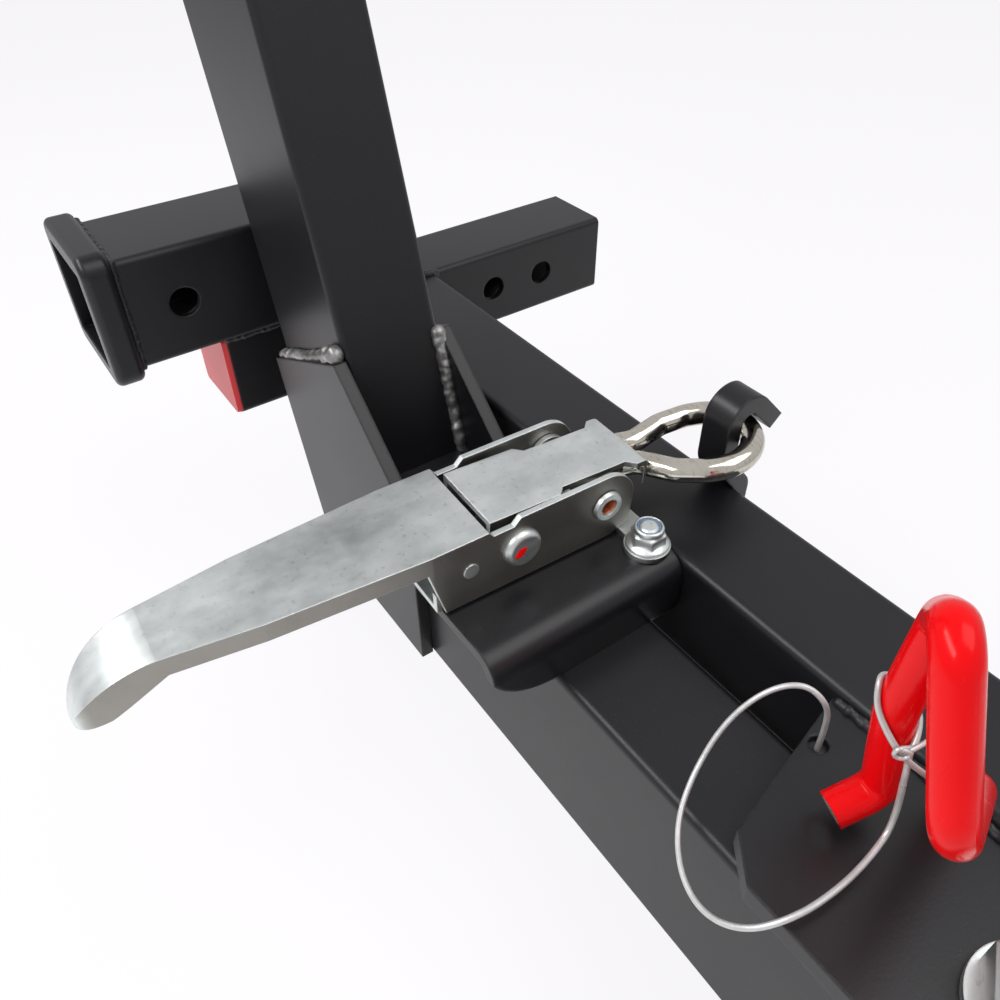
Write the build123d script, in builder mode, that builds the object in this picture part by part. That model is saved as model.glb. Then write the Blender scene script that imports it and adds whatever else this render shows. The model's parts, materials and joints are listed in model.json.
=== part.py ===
from build123d import *
import os
from math import asin, atan2, cos, degrees, hypot, pi, radians, sin, sqrt, tan

os.makedirs("parts", exist_ok=True)

# Frame: the origin is the front hitch-pin hole, +Y points to the vehicle, +X along the beam
bar = 50.8  # square bar across its flats
bar_wall = 5
bar_corner = 3.5
cap_head = 3  # thickness of the head of a push-in end cap
cap_plug = 18  # depth of its plug
cap_fit = 0.1  # play of a plug at each wall
cap_corner = 1  # rounding of the plugs
shank_front = 49
shank_rear = 219
pin_hole = 16  # hitch-pin holes
second_hole = 39  # distance of the second hole behind the first
receiver_bore = 52
receiver_wall = 4
receiver_length = 160
receiver_mouth = 281  # distance of its mouth behind the first hole
receiver_pin_inset = 45
collar_length = 15
collar_wall = 6
beam_setback = 109.1  # middle of the beam behind the first hole
beam_end = 520

# Swing arm, mast and gussets
arm_width = 50
arm_height = 88
arm_top = 0.5
arm_gap = 13.9  # between the arm and the beam
arm_wall = 4
arm_corner = 3.5
mast_width = 84
mast_lean = 16.5  # degrees from upright, towards the shank
mast_at = 112.4  # middle of the mast at the arm's top
mast_height = 575
gusset = 6.4
gusset_left_rise = 25.5
gusset_right_rise = 60.5
gusset_reach = 40.8
gusset_end_rise = 7.5

# Hinge
pivot_x = 470
plate = 8
plate_top = 20
plate_tip = 36  # radius of the hinge plates round the pivot
upper_plate_left = 97.3  # reach of the upper plate to the left of the pivot, at the beam
upper_plate_slant = 15
upper_plate_chamfer = (14, 11)  # cut corner of the upper plate
lower_plate_left = 70
back_plate_setback = 105
hub_diameter = 60
hub_clearance = 2  # between the hub and each hinge plate
bolt_diameter = 20
bolt_play = 0.1
bush_wall = 4
bush_flange = 44
bush_length = 26
running_gap = 0.2  # between a bush flange and its plate
bolt_head = 12.5
bolt_head_flats = 30
washer = 3
washer_diameter = 38
nut = 16
bolt_end = 4
lug_thickness = 10
lug_width = 16
lug_reach = 56
lug_corner = 4
lug_drop = 60  # lower face of the lug below the shank's axis
swing_limit = 105
stop_margin = 0.6  # swing left when the lug is about to meet the pin, in degrees

# Stop pin, its handle and the lanyard
stop_pin_diameter = 12
stop_pin_x = 424
stop_pin_gap = 1.0  # between the pin's hole and the beam
stop_pin_play = 0.15
stop_pin_depth = 75
grip_diameter = 12
grip_core = 9
grip_start = 4  # foot of the coating above the hinge plate
lanyard_hole = 7
lanyard_x = 382.5
lanyard_y = -154.2
lanyard_diameter = 2
ferrule_diameter = 5
ferrule_length = 13
ferrule_at = 14  # its foot above the bend of the handle's free leg
tie_wire = 1.4  # wire of the ring round the leg
tie_play = 0.15

# Keeper hook
hook_x = 270.5
hook_width = 14
hook_thickness = 8
hook_root = 30  # weld length below the beam's top
hook_setback = 8.9  # middle of the hook behind the beam's front face
hook_lean_rise = 15  # the rises are above the beam's top
hook_back_rise = 43
hook_crown = (2.6, 43.4)  # ahead of the beam's front face, and its rise
hook_tip = (17, 28.6)
hook_bends = [7, 9, 8, 7]

# Latch: right, ahead and up are measured from its pivot's foot on the bracket
bracket_width = 101
bracket_height = 26.5
bracket_thickness = 5
bracket_corner = 11
bracket_front_gap = 0.5
bracket_rear = 228
bracket_rear_depth = 10
latch_x = 248.2
latch_ahead_of_arm = 20.3
latch_yaw = 2.1
sheet = 2.5
base_rear = 76.5
base_front = 19
base_wall_height = 9
ear_radius = 8.6
ear_width = 24
tab_spread = 35.3  # each fixing bolt from the latch's middle
tab_ahead = 11.8
tab_radius = 9.5
tab_rear = 7.5
m8 = 8
m8_hole = 8.2
m8_flats = 13
m8_nut = 8
m8_flange = 17.9
m8_flange_height = 2
m8_end = 1.6
pivot_rise = 18.9
pivot_rivet = 10.4
pivot_rivet_bore = 7.4
pivot_rivet_head = 13.5
rivet_play = 0.05
side_play = 0.3  # between the latch's nested walls
link_arm = 40.5  # pivot to link rivet
link_rise = 18
link_rivet_diameter = 8
link_rivet_head = 16.5
link_rivet_dome = 3
stop_rivet_back = 62.6
stop_rivet_rise = 17.2
stop_rivet_diameter = 6.5
handle_width = 44
handle_top = 32
handle_plate_end = 54.5  # where the top plate stops, behind the pivot
handle_step = 43.5
handle_tip = 202
taper_start = 138  # behind the pivot, where the handle's sides start to close
taper_end = 167
taper_in = (4, 8)  # sides moved in at these two places
tip_round = (184, 10.5)  # pull of the rounded tip: behind the pivot and in from the side
tip_bend = 170  # behind the pivot, where the skirt turns down
tip_knee = (190, 12)
tip_drop = 13  # top of the tip below the short skirt
tip_edge = 3
skirt_rear = 74
skirt_foot = 1.2
short_skirt = 24
nose_radius = 13.7
heel_radius = 17.7
draw_rear = 51
draw_rise = 31.3
draw_slope = 2.6
draw_length = 77
draw_half = 17
waist_depth = 3.5  # the draw plate is narrower between its cheeks and its front edge
waist_start = 45  # from the front edge
waist_end = 7
waist_ramp = 3.5
lip_depth = 12.5
lip_bend = 4
web_width = 2.2  # tongue of the bent edge that the ring hangs on
window_rim = 0.6  # metal left outside each of the ring's two windows
ring_wire = 10
ring_pivot_right = -3.3
ring_pivot_ahead = 18.2
ring_pivot_rise = 18.1
ring_yaw = 29
ring_rise = 9
ring_length = 62.2
ring_half = 19
ring_neck = 6.8

# Wheel mounting
wheel_rise = 470
wheel_stub_diameter = 60
wheel_stub_wall = 5
wheel_stub_length = 60
wheel_plate_diameter = 170
wheel_plate_thickness = 8
wheel_pcd = 127
wheel_stud = 12
wheel_stud_knurl = 14  # pressed part of a stud, in the plate
wheel_stud_length = 40
wheel_stud_head = 18
wheel_stud_head_height = 4
wheel_stud_count = 5

# Places that follow from these sizes
half = bar / 2
beam_rear = -beam_setback - half
beam_front = -beam_setback + half
arm_y = beam_rear - arm_gap - arm_width / 2
arm_bottom = arm_top - arm_height
receiver_outer = receiver_bore + 2 * receiver_wall
receiver_z = half + receiver_outer / 2
lean = radians(mast_lean)
mast_up = Vector(-sin(lean), 0, cos(lean))
mast_right = Vector(cos(lean), 0, sin(lean))
mast_foot = Vector(mast_at, arm_y, arm_top)
mast_edge = mast_width / 2 / cos(lean)
plate_foot = plate_top - plate
hub_top = plate_foot - hub_clearance
hub_bottom = arm_bottom - (hub_top - arm_top)
lower_plate_top = hub_bottom - hub_clearance
lower_plate_foot = lower_plate_top - plate
bracket_top = arm_top + bracket_height
bracket_front = beam_rear - bracket_front_gap
stop_pin_y = beam_rear - stop_pin_gap - stop_pin_diameter / 2
wheel_x = mast_at - (wheel_rise - arm_top) * tan(lean)
arm_rear = arm_y - arm_width / 2

yaw = radians(latch_yaw)
base_width = handle_width - 2 * (sheet + side_play)
latch_foot = Vector(latch_x, arm_y + latch_ahead_of_arm, bracket_top)
latch_right = Vector(cos(yaw), -sin(yaw), 0)
latch_ahead = Vector(sin(yaw), cos(yaw), 0)
up = Vector(0, 0, 1)




def hollow_bar(width, height, corner, wall):
    """Draw the section of a square or flat bar with its bore."""
    RectangleRounded(width, height, corner)
    inner_corner = max(corner - wall, 1)
    RectangleRounded(width - 2 * wall, height - 2 * wall, inner_corner, mode=Mode.SUBTRACT)


def latch_point(right, ahead, rise):
    """Return a point of the latch in the part's frame."""
    return latch_foot + latch_right * right + latch_ahead * ahead + up * rise


def latch_side(right):
    """Return the plane of a side wall of the latch: x runs ahead, y up."""
    return Plane(origin=latch_point(right, 0, 0), x_dir=latch_ahead, z_dir=latch_right)


def latch_floor(rise):
    """Return a level plane of the latch: x runs right, y ahead."""
    return Plane(origin=latch_point(0, 0, rise), x_dir=latch_right, z_dir=up)


# Hitch shank: the bar that goes into the vehicle's receiver
with BuildPart() as hitch_shank:
    with BuildSketch(Plane.XZ.offset(-shank_front)):
        hollow_bar(bar, bar, bar_corner, bar_wall)
    extrude(amount=shank_front + shank_rear)
    with BuildSketch(Plane.YZ.offset(-bar)):
        with Locations((0, 0), (-second_hole, 0)):
            Circle(pin_hole / 2)
    extrude(amount=2 * bar, mode=Mode.SUBTRACT)
hitch_shank.part.label = "hitch_shank"
export_step(hitch_shank.part, "parts/hitch_shank.step")

plug = bar - 2 * bar_wall - 2 * cap_fit

with BuildPart() as shank_end_cap:
    with BuildSketch(Plane.XZ.offset(shank_rear)):
        RectangleRounded(bar, bar, bar_corner)
    extrude(amount=cap_head, taper=15)
    with BuildSketch(Plane.XZ.offset(shank_rear)):
        RectangleRounded(plug, plug, cap_corner)
    extrude(amount=-cap_plug)
shank_end_cap.part.label = "shank_end_cap"
export_step(shank_end_cap.part, "parts/shank_end_cap.step")

# Receiver tube on top of the shank, with the collar round its mouth
with BuildPart() as receiver_tube:
    with BuildSketch(Plane.XZ.offset(receiver_mouth - receiver_length)):
        with Locations((0, receiver_z)):
            hollow_bar(receiver_outer, receiver_outer, bar_corner, receiver_wall)
    extrude(amount=receiver_length)
    with BuildSketch(Plane.YZ.offset(-receiver_outer)):
        with Locations((receiver_pin_inset - receiver_mouth, receiver_z)):
            Circle(pin_hole / 2)
    extrude(amount=2 * receiver_outer, mode=Mode.SUBTRACT)
receiver_tube.part.label = "receiver_tube"
export_step(receiver_tube.part, "parts/receiver_tube.step")

collar_outer = receiver_outer + 2 * collar_wall

with BuildPart() as receiver_collar:
    with BuildSketch(Plane.XZ.offset(receiver_mouth - collar_length)):
        with Locations((0, receiver_z)):
            RectangleRounded(collar_outer, collar_outer, bar_corner + collar_wall)
    extrude(amount=collar_length)
    collar_ends = receiver_collar.faces().filter_by(Axis.Y)
    fillet(collar_ends.edges(), radius=collar_wall * 0.6)
    with BuildSketch(Plane.XZ.offset(receiver_mouth - collar_length)):
        with Locations((0, receiver_z)):
            RectangleRounded(receiver_outer, receiver_outer, bar_corner)
    extrude(amount=collar_length, mode=Mode.SUBTRACT)
receiver_collar.part.label = "receiver_collar"
export_step(receiver_collar.part, "parts/receiver_collar.step")

# Cross beam from the shank's side to the hinge
with BuildPart() as cross_beam:
    with BuildSketch(Plane.YZ.offset(half)):
        with Locations((-beam_setback, 0)):
            hollow_bar(bar, bar, bar_corner, bar_wall)
    extrude(amount=beam_end - half)
cross_beam.part.label = "cross_beam"
export_step(cross_beam.part, "parts/cross_beam.step")

with BuildPart() as beam_end_cap:
    with BuildSketch(Plane.YZ.offset(beam_end)):
        with Locations((-beam_setback, 0)):
            RectangleRounded(bar, bar, bar_corner)
    extrude(amount=cap_head, taper=15)
    with BuildSketch(Plane.YZ.offset(beam_end)):
        with Locations((-beam_setback, 0)):
            RectangleRounded(plug, plug, cap_corner)
    extrude(amount=-cap_plug)
beam_end_cap.part.label = "beam_end_cap"
export_step(beam_end_cap.part, "parts/beam_end_cap.step")

# Keeper hook: a flat bar bent over the beam's front edge, which the latch's ring pulls on
hook_plane = Plane(
    origin=(hook_x - hook_width / 2, beam_front, half), x_dir=(0, 1, 0), z_dir=(1, 0, 0)
)
with BuildPart() as keeper_hook:
    with BuildSketch(hook_plane):
        with BuildLine() as hook_line:
            FilletPolyline(
                (hook_thickness / 2, -hook_root),
                (hook_thickness / 2, -1),
                (-hook_setback, hook_lean_rise),
                (-hook_setback, hook_back_rise),
                hook_crown,
                hook_tip,
                radius=hook_bends,
            )
        trace(line_width=hook_thickness)
    extrude(amount=hook_width)
    add(cross_beam.part, mode=Mode.SUBTRACT)
keeper_hook.part.label = "keeper_hook"
export_step(keeper_hook.part, "parts/keeper_hook.step")

# Hinge: two plates and a back plate on the beam, with a bolt through the arm's hub
with BuildPart() as upper_hinge_plate:
    with BuildSketch(Plane.XY.offset(plate_foot)):
        with BuildLine():
            left = pivot_x - upper_plate_left
            Polyline(
                (pivot_x + plate_tip, arm_y),
                (pivot_x + plate_tip, beam_rear),
                (left, beam_rear),
                (left + upper_plate_slant, arm_y - plate_tip + upper_plate_chamfer[1]),
                (left + upper_plate_slant + upper_plate_chamfer[0], arm_y - plate_tip),
                (pivot_x, arm_y - plate_tip),
            )
            RadiusArc(
                (pivot_x, arm_y - plate_tip), (pivot_x + plate_tip, arm_y), -plate_tip
            )
        make_face()
        with Locations((pivot_x, arm_y)):
            Circle(bolt_diameter / 2, mode=Mode.SUBTRACT)
        with Locations((stop_pin_x, stop_pin_y)):
            Circle(stop_pin_diameter / 2 + stop_pin_play, mode=Mode.SUBTRACT)
        with Locations((lanyard_x, lanyard_y)):
            Circle(lanyard_hole / 2, mode=Mode.SUBTRACT)
    extrude(amount=plate)
upper_hinge_plate.part.label = "upper_hinge_plate"
export_step(upper_hinge_plate.part, "parts/upper_hinge_plate.step")

with BuildPart() as lower_hinge_plate:
    with BuildSketch(Plane.XY.offset(lower_plate_foot)):
        with BuildLine():
            Polyline(
                (pivot_x + plate_tip, arm_y),
                (pivot_x + plate_tip, -back_plate_setback),
                (pivot_x - lower_plate_left, -back_plate_setback),
                (pivot_x - lower_plate_left, arm_y),
                (pivot_x - plate_tip, arm_y - plate_tip),
                (pivot_x, arm_y - plate_tip),
            )
            RadiusArc(
                (pivot_x, arm_y - plate_tip), (pivot_x + plate_tip, arm_y), -plate_tip
            )
        make_face()
        with Locations((pivot_x, arm_y)):
            Circle(bolt_diameter / 2, mode=Mode.SUBTRACT)
    extrude(amount=plate)
lower_hinge_plate.part.label = "lower_hinge_plate"
export_step(lower_hinge_plate.part, "parts/lower_hinge_plate.step")

with BuildPart() as hinge_back_plate:
    with BuildSketch(Plane.XZ.offset(back_plate_setback)):
        with BuildLine():
            Polyline(
                (pivot_x - lower_plate_left, lower_plate_top),
                (pivot_x + plate_tip, lower_plate_top),
                (pivot_x + plate_tip, -half),
                (pivot_x - lower_plate_left, -half),
                close=True,
            )
        make_face()
    extrude(amount=plate)
hinge_back_plate.part.label = "hinge_back_plate"
export_step(hinge_back_plate.part, "parts/hinge_back_plate.step")

pivot_length = plate_top + washer - lower_plate_foot + washer + nut + bolt_end

with BuildPart() as pivot_bolt:
    with BuildSketch(Plane.XY.offset(plate_top + washer)):
        with Locations((pivot_x, arm_y)):
            RegularPolygon(bolt_head_flats / 2, 6, major_radius=False)
    extrude(amount=bolt_head)
    chamfer(pivot_bolt.edges().group_by(Axis.Z)[-1], length=1.2)
    with BuildSketch(Plane.XY.offset(plate_top + washer)):
        with Locations((pivot_x, arm_y)):
            Circle(bolt_diameter / 2)
    extrude(amount=-pivot_length)
    chamfer(pivot_bolt.edges().group_by(Axis.Z)[0], length=1.5)
pivot_bolt.part.label = "pivot_bolt"
export_step(pivot_bolt.part, "parts/pivot_bolt.step")

with BuildPart() as pivot_washers:
    for foot in (plate_top, lower_plate_foot - washer):
        with BuildSketch(Plane.XY.offset(foot)):
            with Locations((pivot_x, arm_y)):
                Circle(washer_diameter / 2)
                Circle(bolt_diameter / 2, mode=Mode.SUBTRACT)
        extrude(amount=washer)
pivot_washers.part.label = "pivot_washers"
export_step(pivot_washers.part, "parts/pivot_washers.step")

with BuildPart() as pivot_nut:
    with BuildSketch(Plane.XY.offset(lower_plate_foot - washer)):
        with Locations((pivot_x, arm_y)):
            RegularPolygon(bolt_head_flats / 2, 6, major_radius=False)
            Circle(bolt_diameter / 2, mode=Mode.SUBTRACT)
    extrude(amount=-nut)
pivot_nut.part.label = "pivot_nut"
export_step(pivot_nut.part, "parts/pivot_nut.step")

# Arm side of the hinge
bush_outer = bolt_diameter + 2 * bolt_play + 2 * bush_wall

with BuildPart() as hinge_hub:
    with BuildSketch(Plane.XY.offset(hub_bottom)):
        with Locations((pivot_x, arm_y)):
            Circle(hub_diameter / 2)
            Circle(bush_outer / 2, mode=Mode.SUBTRACT)
    extrude(amount=hub_top - hub_bottom)
hinge_hub.part.label = "hinge_hub"
export_step(hinge_hub.part, "parts/hinge_hub.step")


def hub_bush(face, outward):
    """Build a flanged bush that sits on a hub face, with its flange towards a hinge plate."""
    with BuildPart() as bush:
        with BuildSketch(Plane.XY.offset(face)):
            with Locations((pivot_x, arm_y)):
                Circle(bush_flange / 2)
        extrude(amount=outward * (hub_clearance - running_gap))
        with BuildSketch(Plane.XY.offset(face)):
            with Locations((pivot_x, arm_y)):
                Circle(bush_outer / 2)
        extrude(amount=-outward * bush_length)
        with BuildSketch(Plane.XY.offset(face - outward * bush_length)):
            with Locations((pivot_x, arm_y)):
                Circle(bolt_diameter / 2 + bolt_play)
        extrude(amount=outward * (bush_length + hub_clearance), mode=Mode.SUBTRACT)
    return bush.part


hub_bush_upper = hub_bush(hub_top, 1)
hub_bush_upper.label = "hub_bush_upper"
export_step(hub_bush_upper, "parts/hub_bush_upper.step")

hub_bush_lower = hub_bush(hub_bottom, -1)
hub_bush_lower.label = "hub_bush_lower"
export_step(hub_bush_lower, "parts/hub_bush_lower.step")

# Stop lug: it meets the stop pin when the arm is wide open
pin_ahead = stop_pin_y - arm_y
pin_aside = stop_pin_x - pivot_x
pin_radius = hypot(pin_aside, pin_ahead)
pin_angle = degrees(atan2(pin_ahead, pin_aside))
lug_offset = degrees(asin((lug_width + stop_pin_diameter) / 2 / pin_radius))
lug_angle = pin_angle - lug_offset - stop_margin - swing_limit
lug_plane = Plane(
    origin=(pivot_x, arm_y, -lug_drop),
    x_dir=(cos(radians(lug_angle)), sin(radians(lug_angle)), 0),
    z_dir=(0, 0, 1),
)

with BuildPart() as stop_lug:
    with BuildSketch(lug_plane):
        with Locations((lug_reach / 2, 0)):
            Rectangle(lug_reach, lug_width)
        Circle(hub_diameter / 2, mode=Mode.SUBTRACT)
    extrude(amount=lug_thickness)
    far_edges = stop_lug.edges().filter_by(Axis.Z).sort_by_distance(lug_plane.origin)[-2:]
    fillet(far_edges, radius=lug_corner)
stop_lug.part.label = "stop_lug"
export_step(stop_lug.part, "parts/stop_lug.step")

# Mast: it leans towards the shank and stands on the arm's inner end
mast_plane = Plane(origin=mast_foot, x_dir=mast_right, z_dir=mast_up)
mast_below = arm_height / cos(lean) + mast_width

with BuildPart() as mast_tube:
    with BuildSketch(mast_plane.offset(-mast_below)):
        hollow_bar(mast_width, arm_width, arm_corner, arm_wall)
    extrude(amount=mast_below + mast_height)
    split(bisect_by=Plane.XY.offset(arm_bottom), keep=Keep.TOP)
mast_tube.part.label = "mast_tube"
export_step(mast_tube.part, "parts/mast_tube.step")

with BuildPart() as mast_cap:
    with BuildSketch(mast_plane.offset(mast_height)):
        RectangleRounded(mast_width, arm_width, arm_corner)
    extrude(amount=cap_head, taper=15)
    with BuildSketch(mast_plane.offset(mast_height)):
        inset = 2 * arm_wall + 2 * cap_fit
        RectangleRounded(mast_width - inset, arm_width - inset, cap_corner)
    extrude(amount=-cap_plug)
mast_cap.part.label = "mast_cap"
export_step(mast_cap.part, "parts/mast_cap.step")

mast_side = Plane(
    origin=mast_foot + mast_right * (mast_width / 2), x_dir=mast_up, z_dir=mast_right
)

with BuildPart() as arm_tube:
    with BuildSketch(Plane.YZ.offset(mast_at)):
        with Locations((arm_y, arm_top - arm_height / 2)):
            hollow_bar(arm_width, arm_height, arm_corner, arm_wall)
    extrude(amount=pivot_x - mast_at)
    split(bisect_by=mast_side, keep=Keep.TOP)
    with BuildSketch(Plane.XY.offset(arm_bottom)):
        with Locations((pivot_x, arm_y)):
            Circle(hub_diameter / 2)
    extrude(amount=arm_height, mode=Mode.SUBTRACT)
arm_tube.part.label = "arm_tube"
export_step(arm_tube.part, "parts/arm_tube.step")


def gusset_plate(face):
    """Build a gusset on the arm and the mast, from its face outwards to the rear."""
    with BuildPart() as side_plate:
        with BuildSketch(Plane.XZ.offset(face)):
            with BuildLine():
                low = mast_at + arm_height * tan(lean)
                high_left = mast_at - gusset_left_rise * tan(lean)
                high_right = mast_at - gusset_right_rise * tan(lean)
                reach = mast_at + mast_edge + gusset_reach
                Polyline(
                    (low - mast_edge, arm_bottom),
                    (high_left - mast_edge, arm_top + gusset_left_rise),
                    (high_right + mast_edge, arm_top + gusset_right_rise),
                    (reach, arm_top + gusset_end_rise),
                    (reach, arm_bottom),
                    close=True,
                )
            make_face()
        extrude(amount=gusset)
    return side_plate.part


gusset_rear = gusset_plate(-arm_rear)
gusset_rear.label = "gusset_rear"
export_step(gusset_rear, "parts/gusset_rear.step")

gusset_front = gusset_plate(-arm_rear - arm_width - gusset)
gusset_front.label = "gusset_front"
export_step(gusset_front, "parts/gusset_front.step")

# Latch bracket: a channel with its back up, welded across the arm
with BuildPart() as latch_bracket:
    with BuildSketch(Plane.XZ.offset(-bracket_front)) as channel:
        with Locations((latch_x, bracket_top)):
            Rectangle(bracket_width, bracket_height, align=(Align.CENTER, Align.MAX))
        fillet(channel.vertices().group_by(Axis.Y)[-1], radius=bracket_corner)
        with BuildSketch(mode=Mode.PRIVATE) as hollow:
            with Locations((latch_x, bracket_top - bracket_thickness)):
                inner = bracket_width - 2 * bracket_thickness
                Rectangle(inner, bracket_height, align=(Align.CENTER, Align.MAX))
            fillet(
                hollow.vertices().group_by(Axis.Y)[-1],
                radius=bracket_corner - bracket_thickness,
            )
        add(hollow.sketch, mode=Mode.SUBTRACT)
    extrude(amount=bracket_rear + bracket_front)
    with BuildSketch(Plane.YZ.offset(latch_x - bracket_width)):
        with BuildLine():
            overhang = bracket_rear + arm_rear
            Line((arm_rear, arm_top), (-bracket_rear, arm_top))
            Line((-bracket_rear, arm_top), (-bracket_rear, bracket_top - bracket_rear_depth))
            Bezier(
                (-bracket_rear, bracket_top - bracket_rear_depth),
                (-bracket_rear + 0.3 * overhang, arm_top + 2),
                (arm_rear, arm_top),
            )
        make_face()
    extrude(amount=2 * bracket_width, mode=Mode.SUBTRACT)
    with BuildSketch(latch_floor(0)):
        with Locations((-tab_spread, tab_ahead), (tab_spread, tab_ahead)):
            Circle(m8_hole / 2)
    extrude(amount=-bracket_thickness, mode=Mode.SUBTRACT)
latch_bracket.part.label = "latch_bracket"
export_step(latch_bracket.part, "parts/latch_bracket.step")

# Latch base: a bent sheet with two tabs and two ears that hold the handle's pivot
with BuildPart() as latch_base:
    with BuildSketch(latch_floor(0)):
        with Locations((0, (base_front - base_rear) / 2)):
            Rectangle(base_width, base_front + base_rear)
        with Locations((0, (base_front + tab_rear) / 2)):
            Rectangle(2 * tab_spread, base_front - tab_rear)
        with Locations((-tab_spread, tab_ahead), (tab_spread, tab_ahead)):
            Circle(tab_radius)
        with Locations((-tab_spread, tab_ahead), (tab_spread, tab_ahead)):
            Circle(m8_hole / 2, mode=Mode.SUBTRACT)
    extrude(amount=sheet)
    for wall in (-base_width / 2, base_width / 2 - sheet):
        with BuildSketch(latch_side(wall)):
            Rectangle(base_rear, base_wall_height, align=(Align.MAX, Align.MIN))
        extrude(amount=sheet)
        with BuildSketch(latch_side(wall)) as ear:
            Rectangle(ear_width, base_wall_height, align=(Align.CENTER, Align.MIN))
            with Locations((0, pivot_rise)):
                Circle(ear_radius)
            make_hull()
        extrude(amount=sheet)
    with BuildSketch(latch_side(-base_width)):
        with Locations((0, pivot_rise)):
            Circle(pivot_rivet / 2)
    extrude(amount=2 * base_width, mode=Mode.SUBTRACT)
latch_base.part.label = "latch_base"
export_step(latch_base.part, "parts/latch_base.step")

with BuildPart() as latch_studs:
    with BuildSketch(latch_floor(-bracket_thickness)):
        with Locations((-tab_spread, tab_ahead), (tab_spread, tab_ahead)):
            Circle(m8 / 2)
    extrude(amount=bracket_thickness + sheet + m8_nut + m8_end)
    chamfer(latch_studs.edges().group_by(Axis.Z)[-1], length=0.8)
latch_studs.part.label = "latch_studs"
export_step(latch_studs.part, "parts/latch_studs.step")

with BuildPart() as latch_nuts:
    with BuildSketch(latch_floor(sheet)):
        with Locations((-tab_spread, tab_ahead), (tab_spread, tab_ahead)):
            Circle(m8_flange / 2)
    extrude(amount=m8_flange_height)
    with BuildSketch(latch_floor(sheet)):
        with Locations((-tab_spread, tab_ahead), (tab_spread, tab_ahead)):
            RegularPolygon(m8_flats / 2, 6, major_radius=False)
    extrude(amount=m8_nut)
    chamfer(latch_nuts.edges().group_by(Axis.Z)[-1], length=1)
    with BuildSketch(latch_floor(sheet)):
        with Locations((-tab_spread, tab_ahead), (tab_spread, tab_ahead)):
            Circle(m8 / 2)
    extrude(amount=m8_nut, mode=Mode.SUBTRACT)
latch_nuts.part.label = "latch_nuts"
export_step(latch_nuts.part, "parts/latch_nuts.step")

# Hollow rivet on which the handle turns, held in the base's ears
rivet_half = handle_width / 2 + side_play
rivet_head = 1.7

with BuildPart() as latch_pivot_rivet:
    with BuildSketch(latch_side(-rivet_half)):
        with Locations((0, pivot_rise)):
            Circle(pivot_rivet / 2)
    extrude(amount=2 * rivet_half)
    for face, outward in ((-rivet_half, -1), (rivet_half, 1)):
        with BuildSketch(latch_side(face)):
            with Locations((0, pivot_rise)):
                Circle(pivot_rivet_head / 2)
        extrude(amount=outward * rivet_head, taper=20)
    with BuildSketch(latch_side(-handle_width)):
        with Locations((0, pivot_rise)):
            Circle(pivot_rivet_bore / 2)
    extrude(amount=2 * handle_width, mode=Mode.SUBTRACT)
latch_pivot_rivet.part.label = "latch_pivot_rivet"
export_step(latch_pivot_rivet.part, "parts/latch_pivot_rivet.step")


def handle_form(inset):
    """Build the handle's outer form, or its cavity when inset by the sheet's thickness."""
    front = nose_radius + (20 if inset else 0)
    with BuildPart() as form:
        with BuildSketch(latch_floor(-10)):
            with BuildLine():
                half_width = handle_width / 2 - inset
                tip = inset - handle_tip
                Polyline(
                    (0, front),
                    (half_width, front),
                    (half_width, -skirt_rear - 4),
                    (half_width - taper_in[0], -taper_start),
                    (half_width - taper_in[1], -taper_end),
                )
                Bezier(
                    (half_width - taper_in[1], -taper_end),
                    (half_width - tip_round[1], -tip_round[0]),
                    (half_width - tip_round[1] + 0.5, tip),
                    (0, tip),
                )
                mirror(about=Plane.YZ)
            make_face()
        extrude(amount=80)
        with BuildSketch(latch_side(-handle_width)):
            with BuildLine():
                top = handle_top - inset
                tip_top = short_skirt - tip_drop
                ThreePointArc(
                    (inset - handle_tip, tip_top - inset),
                    (inset - handle_tip + 11, top - 6.5),
                    (inset - 172, top),
                )
                if inset:
                    Polyline(
                        (inset - 172, top),
                        (-handle_plate_end, top),
                        (-handle_plate_end, 2 * handle_top),
                        (front, 2 * handle_top),
                        (front, -10),
                        (inset - handle_tip, -10),
                        (inset - handle_tip, tip_top - inset),
                    )
                else:
                    Polyline(
                        (-172, top),
                        (-handle_plate_end, top),
                        (-handle_plate_end + 2, top - sheet),
                        (-handle_step, top - sheet),
                        (-handle_step + 3, pivot_rise + nose_radius),
                        (0, pivot_rise + nose_radius),
                    )
                    RadiusArc((0, pivot_rise + nose_radius), (nose_radius, pivot_rise), nose_radius)
                    heel = heel_radius * sqrt(0.5)
                    Line((nose_radius, pivot_rise), (heel, pivot_rise - heel))
                    RadiusArc((heel, pivot_rise - heel), (0, pivot_rise - heel_radius), heel_radius)
                    Polyline(
                        (0, pivot_rise - heel_radius),
                        (-skirt_rear, skirt_foot),
                        (-skirt_rear - 6, short_skirt),
                        (-tip_bend, short_skirt),
                        (-tip_knee[0], tip_knee[1]),
                        (-handle_tip, tip_top - tip_edge),
                        (-handle_tip, tip_top),
                    )
            make_face()
        extrude(amount=2 * handle_width, mode=Mode.INTERSECT)
    return form


handle_cavity = handle_form(sheet)

with BuildPart() as latch_handle:
    add(handle_form(0).part)
    add(handle_cavity.part, mode=Mode.SUBTRACT)
    with BuildSketch(latch_side(-handle_width)):
        with Locations((0, pivot_rise)):
            Circle(pivot_rivet / 2 + rivet_play)
        with Locations((-link_arm, link_rise)):
            Circle(link_rivet_diameter / 2)
        with Locations((-stop_rivet_back, stop_rivet_rise)):
            Circle(stop_rivet_diameter / 2)
    extrude(amount=2 * handle_width, mode=Mode.SUBTRACT)
latch_handle.part.label = "latch_handle"
export_step(latch_handle.part, "parts/latch_handle.step")

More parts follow.
